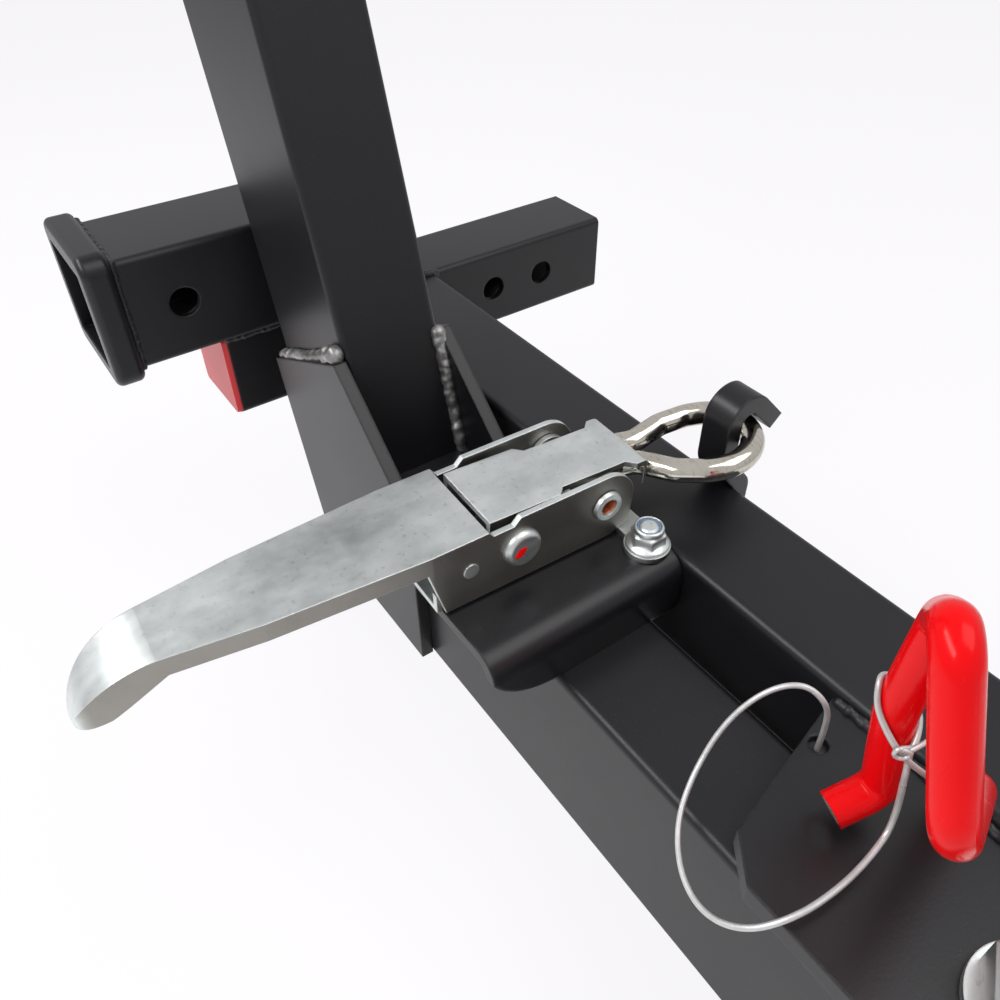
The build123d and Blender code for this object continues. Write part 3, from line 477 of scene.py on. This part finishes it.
def weld_bead(name, points, width, body, finish, pitch=0.45, wobble=0.16):
    """Lay drops of weld metal along points that are given in millimetres."""
    drops = []
    route = [Vector(point) * mm for point in points]
    for start, stop in zip(route, route[1:]):
        steps = max(2, round((stop - start).length / (width * mm * pitch)))
        for step in range(steps + 1):
            size = width * mm / 2 * (1 + random.uniform(-wobble, wobble))
            place = start.lerp(stop, step / steps)
            place += Vector([random.uniform(-wobble, wobble) * size for axis in range(3)])
            unselect()
            bpy.ops.mesh.primitive_uv_sphere_add(segments=12, ring_count=8, radius=size, location=place)
            bpy.context.object.scale = [1 + random.uniform(-0.1, 0.12) for axis in range(3)]
            drops.append(bpy.context.object)
    bead = join_pieces(name, drops)
    add_modifier(bead, "REMESH", mode="VOXEL", voxel_size=width * mm / 8)
    add_modifier(bead, "SMOOTH", iterations=2, factor=0.5)
    add_modifier(bead, "DISPLACE", texture=roughness_map, strength=width * mm * 0.16, mid_level=0.5)
    unselect()
    bead.select_set(True)
    bpy.ops.object.shade_smooth()
    dress(bead, finish)
    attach(bead, body)


# %% Bare welds at the mast
def box_mm(node):
    """Return a node's lowest and highest corner in millimetres."""
    return tuple(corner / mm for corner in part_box(node))


rear_seam = box_mm("gusset_rear")[1].y - 1.6
front_seam = box_mm("gusset_front")[0].y - 1.2
silver_beads = (
    ("weld_mast_rear", ((62, rear_seam, 27), (98, rear_seam, 43.5), (132, rear_seam, 61)), 6.6),
    ("weld_mast_corner", ((124, rear_seam - 1, 58), (134, rear_seam - 1, 63)), 8.4),
    ("weld_mast_front", (
        (157, front_seam, -1), (150, front_seam, 24), (144, front_seam, 45), (139.5, front_seam, 60),
    ), 6.8),
)
for name, points, width in silver_beads:
    weld_bead(name, points, width, "swing_arm", "weld_bead", pitch=0.32, wobble=0.1)
print("bare beads:", len(silver_beads))


# %% Coated welds
def circle_points(centre, radius, steps=20):
    """Points of an upright circle that faces the rear, closed on itself."""
    return [
        (centre.x + radius * math.cos(math.tau * step / steps), centre.y,
         centre.z + radius * math.sin(math.tau * step / steps))
        for step in range(steps + 1)
    ]


beam_low, beam_high = box_mm("cross_beam")
tube_low, tube_high = box_mm("receiver_tube")
collar_high = box_mm("receiver_collar")[1]
shank_high = box_mm("hitch_shank")[1]
upper_low, upper_high = box_mm("upper_hinge_plate")
hook_low, hook_high = box_mm("keeper_hook")
back_low, back_high = box_mm("hinge_back_plate")
stub_low, stub_high = box_mm("wheel_stub")
wheel_centre = (stub_low + stub_high) / 2
stub_radius = (stub_high.x - stub_low.x) / 2
behind_collar = collar_high.y + 0.8
side = tube_high.x + 0.4
seam_side = shank_high.x + 0.6
seam_rise = shank_high.z - 0.6
seam_start = -218
seam_left_end = -124
seam_right_end = -138
hook_seam = (1, 17)
hook_back = beam_high.y + 0.8
beam_seam = shank_high.x + 0.8
beam_back = beam_high.y + 0.4
beam_front = beam_low.y - 0.4
beam_top = beam_high.z + 0.2
plate_edge = beam_low.y - 0.8
plate_top = upper_high.z + 0.4
back_edge = back_low.y - 0.6
back_top = beam_low.z - 0.6
stub_bead = stub_radius + 0.6
coated_beads = (
    ("weld_collar", "frame", 3.6, (
        (-side, behind_collar, tube_low.z + 2), (-side, behind_collar, tube_high.z),
        (side, behind_collar, tube_high.z), (side, behind_collar, tube_low.z + 2),
    )),
    ("weld_receiver_left", "frame", 4.5, (
        (-seam_side, seam_start, seam_rise), (-seam_side, seam_left_end, seam_rise),
    )),
    ("weld_receiver_right", "frame", 4.5, (
        (seam_side, seam_start, seam_rise), (seam_side, seam_right_end, seam_rise),
    )),
    ("weld_beam", "frame", 5.0, (
        (beam_seam, beam_back, beam_low.z + 2), (beam_seam, beam_back, beam_high.z - 1),
        (beam_seam, beam_high.y - 2, beam_top), (beam_seam, beam_low.y + 2, beam_top),
        (beam_seam, beam_front, beam_high.z - 1), (beam_seam, beam_front, beam_low.z + 2),
    )),
    ("weld_upper_plate", "frame", 4.2, (
        (upper_low.x + 3, plate_edge, plate_top), (upper_high.x - 2, plate_edge, plate_top),
    )),
    ("weld_hook", "frame", 3.6, (
        (hook_low.x - 0.4, hook_back, hook_seam[0]), (hook_low.x - 0.4, hook_back, hook_seam[1]),
    )),
    ("weld_hook_right", "frame", 3.6, (
        (hook_high.x + 0.4, hook_back, hook_seam[0]), (hook_high.x + 0.4, hook_back, hook_seam[1]),
    )),
    ("weld_back_plate", "frame", 4.5, (
        (back_low.x + 2, back_edge, back_top), (back_high.x - 2, back_edge, back_top),
    )),
    ("weld_wheel_stub", "swing_arm", 5.0, circle_points(
        Vector((wheel_centre.x, stub_high.y - 0.8, wheel_centre.z)), stub_bead)),
    ("weld_wheel_plate", "swing_arm", 5.0, circle_points(
        Vector((wheel_centre.x, stub_low.y + 0.8, wheel_centre.z)), stub_bead)),
)
for name, body, width, points in coated_beads:
    weld_bead(name, points, width, body, "coated_weld", pitch=0.5, wobble=0.1)
print("coated beads:", len(coated_beads))

# %% [markdown]
# ## Lock nuts
# Two flange lock nuts hold the latch. Above the hexagon such a nut has a round collar, rolled over a nylon
# ring that grips the stud. Flange, hexagon, collar and ring are each a polygon extruded through rings of
# radius and height, and their corners are bevelled.
# %% Lock nuts
def rings(name, sides, centre, profile):
    """Extrude a polygon through rings of (radius, height), closed at both ends."""
    radius, height = profile[0]
    unselect()
    bpy.ops.mesh.primitive_circle_add(
        vertices=sides, radius=radius * mm, fill_type="NGON", location=Vector(centre) * mm
    )
    piece = bpy.context.object
    piece.name = name
    bpy.ops.object.mode_set(mode="EDIT")
    bpy.ops.mesh.select_all(action="SELECT")
    bpy.ops.transform.translate(value=(0, 0, height * mm))
    for wider, higher in profile[1:]:
        bpy.ops.mesh.extrude_region_move(TRANSFORM_OT_translate={"value": (0, 0, (higher - height) * mm)})
        if wider != radius:
            grow = wider / radius
            middle = Vector(centre) * mm + Vector((0, 0, higher * mm))
            bpy.ops.transform.resize(value=(grow, grow, 1), center_override=middle)
        radius, height = wider, higher
    bpy.ops.mesh.select_all(action="SELECT")
    bpy.ops.mesh.normals_make_consistent(inside=False)
    bpy.ops.object.mode_set(mode="OBJECT")
    return piece


finishes["nylon_ring"] = moulded_plastic("nylon_ring", (0.10, 0.16, 0.26), (0.16, 0.24, 0.36), 0.35)
nuts_low, nuts_high = box_mm("latch_nuts")
nut_flange = 8.95
nut_foot = nuts_low.z
flange_outline = ((8.6, 0), (nut_flange, 0.3), (nut_flange, 1.0), (8.5, 1.5), (7.0, 2.4), (6.4, 2.8))
hexagon_outline = ((7.2, 1.4), (7.45, 2.0), (7.45, 6.4), (6.9, 7.0), (6.0, 7.2))
collar_outline = ((6.15, 6.2), (6.15, 8.4), (5.9, 9.2), (5.4, 9.6), (5.05, 9.5), (4.95, 9.0), (4.95, 7.0))
nylon_outline = ((4.93, 6.5), (4.93, 8.9), (4.5, 9.15), (4.06, 9.0), (4.06, 6.5))
nut_places = (
    (nuts_low.x + nut_flange, nuts_high.y - nut_flange), (nuts_high.x - nut_flange, nuts_low.y + nut_flange),
)
metal_parts = []
nylon_parts = []
for nut_x, nut_y in nut_places:
    here = (nut_x, nut_y, nut_foot)
    metal_parts += [
        rings("flange", 48, here, flange_outline),
        rings("hexagon", 6, here, hexagon_outline),
        rings("collar", 40, here, collar_outline),
    ]
    nylon_parts.append(rings("nylon", 40, here, nylon_outline))
lock_nuts = join_pieces("lock_nuts", metal_parts)
nylon_rings = join_pieces("nylon_rings", nylon_parts)
for piece, finish, amount in ((lock_nuts, "zinc_steel", 0.28), (nylon_rings, "nylon_ring", 0.1)):
    add_modifier(
        piece, "BEVEL", width=amount * mm, segments=3, limit_method="ANGLE", angle_limit=math.radians(28)
    )
    unselect()
    piece.select_set(True)
    bpy.context.view_layer.objects.active = piece
    bpy.ops.object.shade_smooth_by_angle(angle=math.radians(35))
    dress(piece, finish)
    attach(piece, "swing_arm")
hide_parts("latch_nuts")
print("nut faces:", len(lock_nuts.data.polygons))

# %% [markdown]
# ## Rivets of the latch
# The pivot is a hollow rivet with a coppery bore. The link's rivet has a big round head, marked at the
# works with a dab of red paint. Paint runs into a thin uneven blot, so the dab is a flattened ball that a
# cloud pattern pushes out of round.
# %% Paint dab and coppery bore
latch_right = Vector((math.cos(latch_turn), -math.sin(latch_turn), 0))
latch_ahead = Vector((math.sin(latch_turn), math.cos(latch_turn), 0))
rivet_low, rivet_high = box_mm("link_rivet")
link_centre = (rivet_low + rivet_high) / 2
head_point = link_centre + latch_right * ((rivet_high.x - rivet_low.x) / 2 - 0.3)
unselect()
bpy.ops.mesh.primitive_uv_sphere_add(
    segments=32, ring_count=20, radius=3.3 * mm, location=(head_point - latch_ahead * 1.7) * mm
)
dab = bpy.context.object
dab.scale = (0.16, 1.0, 0.72)
dab.rotation_euler = (math.radians(24), 0, -latch_turn)
dab = join_pieces("paint_dab", [dab])
blot_map = bpy.data.textures.new("blot", "CLOUDS")
blot_map.noise_scale = 0.0022
add_modifier(dab, "DISPLACE", texture=blot_map, strength=1.3 * mm, mid_level=0.55)
add_modifier(dab, "SMOOTH", iterations=2)
unselect()
dab.select_set(True)
bpy.ops.object.shade_smooth()
dress(dab, "red_vinyl")
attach(dab, "latch_handle")

finishes["coppery_bore"] = zinc_plate("coppery_bore", tone=(0.52, 0.20, 0.10))
pivot_low, pivot_high = box_mm("latch_pivot_rivet")
pivot_centre = (pivot_low + pivot_high) / 2
unselect()
bpy.ops.mesh.primitive_cylinder_add(
    vertices=48, radius=3.6 * mm, depth=(pivot_high.x - pivot_low.x - 1.6) * mm, end_fill_type="NOTHING",
    location=pivot_centre * mm, rotation=(0, math.radians(90), -latch_turn),
)
bore = join_pieces("rivet_bore", [bpy.context.object])
add_modifier(bore, "SOLIDIFY", thickness=0.35 * mm, offset=-1)
add_modifier(bore, "BEVEL", width=0.12 * mm, segments=2, limit_method="ANGLE", angle_limit=math.radians(30))
unselect()
bore.select_set(True)
bpy.context.view_layer.objects.active = bore
bpy.ops.object.shade_smooth_by_angle(angle=math.radians(35))
dress(bore, "coppery_bore")
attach(bore, "swing_arm")
print("rivet details:", dab.name, bore.name)

# %% [markdown]
# ## Knot on the red handle
# The cable's end goes once round the back of the handle's leg, crosses it in front, passes a small eye and
# ends in a cut tail. A place on the leg is given by a height along it and an angle round it, counted from
# the side that faces the camera. Bent wire is drawn as smooth curves, which are made meshes and joined.
# %% Knot
leg_low = Vector((407.1, -161.1, 35.2))
leg_middle = Vector((402.4, -164.6, 72.6))
leg_high = Vector((404.0, -166.0, 112.5))
leg_radius = 6.0


def leg_frame(rise):
    """Centre of the leg at a height along it, and the ways to the front and the right there."""
    lower_length = (leg_middle - leg_low).length
    low, high, rest = (leg_low, leg_middle, rise)
    if rise >= lower_length:
        low, high, rest = (leg_middle, leg_high, rise - lower_length)
    along = (high - low).normalized()
    centre = low + along * rest
    view = camera_place / mm - centre
    front = (view - along * view.dot(along)).normalized()
    return centre, front, front.cross(along) * -1


def round_leg(rise, degrees, gap=1.0):
    """Point beside the leg; 0 degrees faces the viewer and 90 is to the right."""
    centre, front, right = leg_frame(rise)
    spread = math.radians(degrees)
    return (centre + (front * math.cos(spread) + right * math.sin(spread)) * (leg_radius + gap)) * mm


def wire(name, points, thickness):
    """Bend a wire along points and make it a mesh."""
    bent = rope_curve(name, points, thickness)
    bent.data.resolution_u = 6
    unselect()
    bent.select_set(True)
    bpy.context.view_layer.objects.active = bent
    bpy.ops.object.convert(target="MESH")
    return bpy.context.object


cable_end = lanyard_route[-1]
print("right of the leg against right in the picture:", round(leg_frame(0)[2].dot(camera_right), 2))
strands = [
    wire("strand_loop", [
        cable_end.lerp(lanyard_route[-2], 0.3), cable_end, round_leg(21, 42, 2.4), round_leg(27, 44, 1.6),
        round_leg(30, 70), round_leg(34, 118), round_leg(38, 170), round_leg(43, 222), round_leg(46.5, 262),
        round_leg(47, 286), round_leg(44.5, 306), round_leg(41, 326), round_leg(36.5, 348, 1.3),
        round_leg(31, 374, 2.8), round_leg(26, 396, 3.6), round_leg(20, 420, 4.6), round_leg(14, 440, 5.8),
    ], 1.9 * mm),
    wire("strand_tip", [
        round_leg(30.5, 30, 3.4), round_leg(32.5, 46, 3.8), round_leg(34.5, 56, 4.6),
    ], 1.5 * mm),
    wire("strand_eye", [
        round_leg(33, 20, 4.2), round_leg(32.2, 32, 4.4), round_leg(30.2, 32, 4.4), round_leg(29.2, 22, 4.4),
        round_leg(30, 10, 4.3), round_leg(32, 9, 4.2), round_leg(33.2, 20, 3.6), round_leg(31.4, 38, 2.8),
    ], 1.4 * mm),
]
knot = join_pieces("lanyard_knot", strands)
unselect()
knot.select_set(True)
bpy.ops.object.shade_smooth()
dress(knot, "cable")
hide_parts("lanyard_ferrule")
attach(knot, "stop_pin")
print("knot strands:", len(strands))

# %% [markdown]
# ## Floor and light
# A pale floor lies below the carrier. Soft light comes from a bright room: the world is a plain pale grey,
# a large square lamp hangs over the far side, and a long narrow one in front draws the pale line along the
# bars' rounded edges. The camera sees the floor partly by its own glow, so that it stays nearly white.
# %% Floor
floor_drop = 0.02
floor_radius = 12
floor_glow = 0.85
floor_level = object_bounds()[0][2] - floor_drop
bpy.ops.mesh.primitive_circle_add(
    vertices=96, radius=floor_radius, fill_type="NGON", location=(0, 0, floor_level)
)
floor = bpy.context.object
floor.name = "floor"
ground = Finish("floor")
pale = ground.blend(ground.noise(3, 2), (0.93, 0.925, 0.935), (0.95, 0.945, 0.955))
ground.finish(Base_Color=pale, Roughness=0.7 + 0.05 * ground.noise(30, 2))
path = ground.tree.nodes.new("ShaderNodeLightPath")
bright = ground.tree.nodes.new("ShaderNodeEmission")
bright.inputs["Color"].default_value = (0.98, 0.965, 0.99, 1)
bright.inputs["Strength"].default_value = 1.0
mixed = ground.tree.nodes.new("ShaderNodeMixShader")
seen = Value(ground.tree, path.outputs["Is Camera Ray"])
fill(ground.tree, mixed.inputs[0], seen * floor_glow)
ground.tree.links.new(ground.shader.outputs[0], mixed.inputs[1])
ground.tree.links.new(bright.outputs[0], mixed.inputs[2])
ground.tree.links.new(mixed.outputs[0], ground.tree.nodes["Material Output"].inputs[0])
floor.data.materials.append(ground.material)

# %% World and lamps
world = bpy.data.worlds.new("studio")
bpy.context.scene.world = world
world.use_nodes = True
sky = world.node_tree
backdrop = sky.nodes["Background"]
room_light = 0.5
mirrored_light = 0.45
rays = sky.nodes.new("ShaderNodeLightPath")
camera_ray = Value(sky, rays.outputs["Is Camera Ray"])
glossy_ray = Value(sky, rays.outputs["Is Glossy Ray"])
glass_ray = Value(sky, rays.outputs["Is Transmission Ray"])
shown = camera_ray.join("MAXIMUM", camera_ray, glossy_ray * mirrored_light)
shown = shown.join("MAXIMUM", shown, glass_ray)
backdrop.inputs["Color"].default_value = (0.99, 0.975, 1.0, 1)
fill(sky, backdrop.inputs["Strength"], room_light + (1 - room_light) * shown)


def soft_lamp(name, place, aim, width, height, watts):
    """Hang a soft box, level along its width, that points at a place."""
    bpy.ops.object.light_add(type="AREA", location=place)
    lamp = bpy.context.object
    lamp.name = name
    lamp.data.shape = "RECTANGLE"
    lamp.data.size = width
    lamp.data.size_y = height
    lamp.data.energy = watts
    lamp.rotation_euler = (Vector(aim) - Vector(place)).to_track_quat("-Z", "Y").to_euler()


soft_lamp("lamp_over", (0.9, 0.3, 1.5), (0.25, -0.1, 0), 1.2, 1.2, 13)
soft_lamp("lamp_front", (-0.05, -1.02, 1.0), (0.33, -0.15, 0), 1.5, 0.3, 15)

# %% Colour handling
bpy.context.scene.view_settings.view_transform = "Standard"
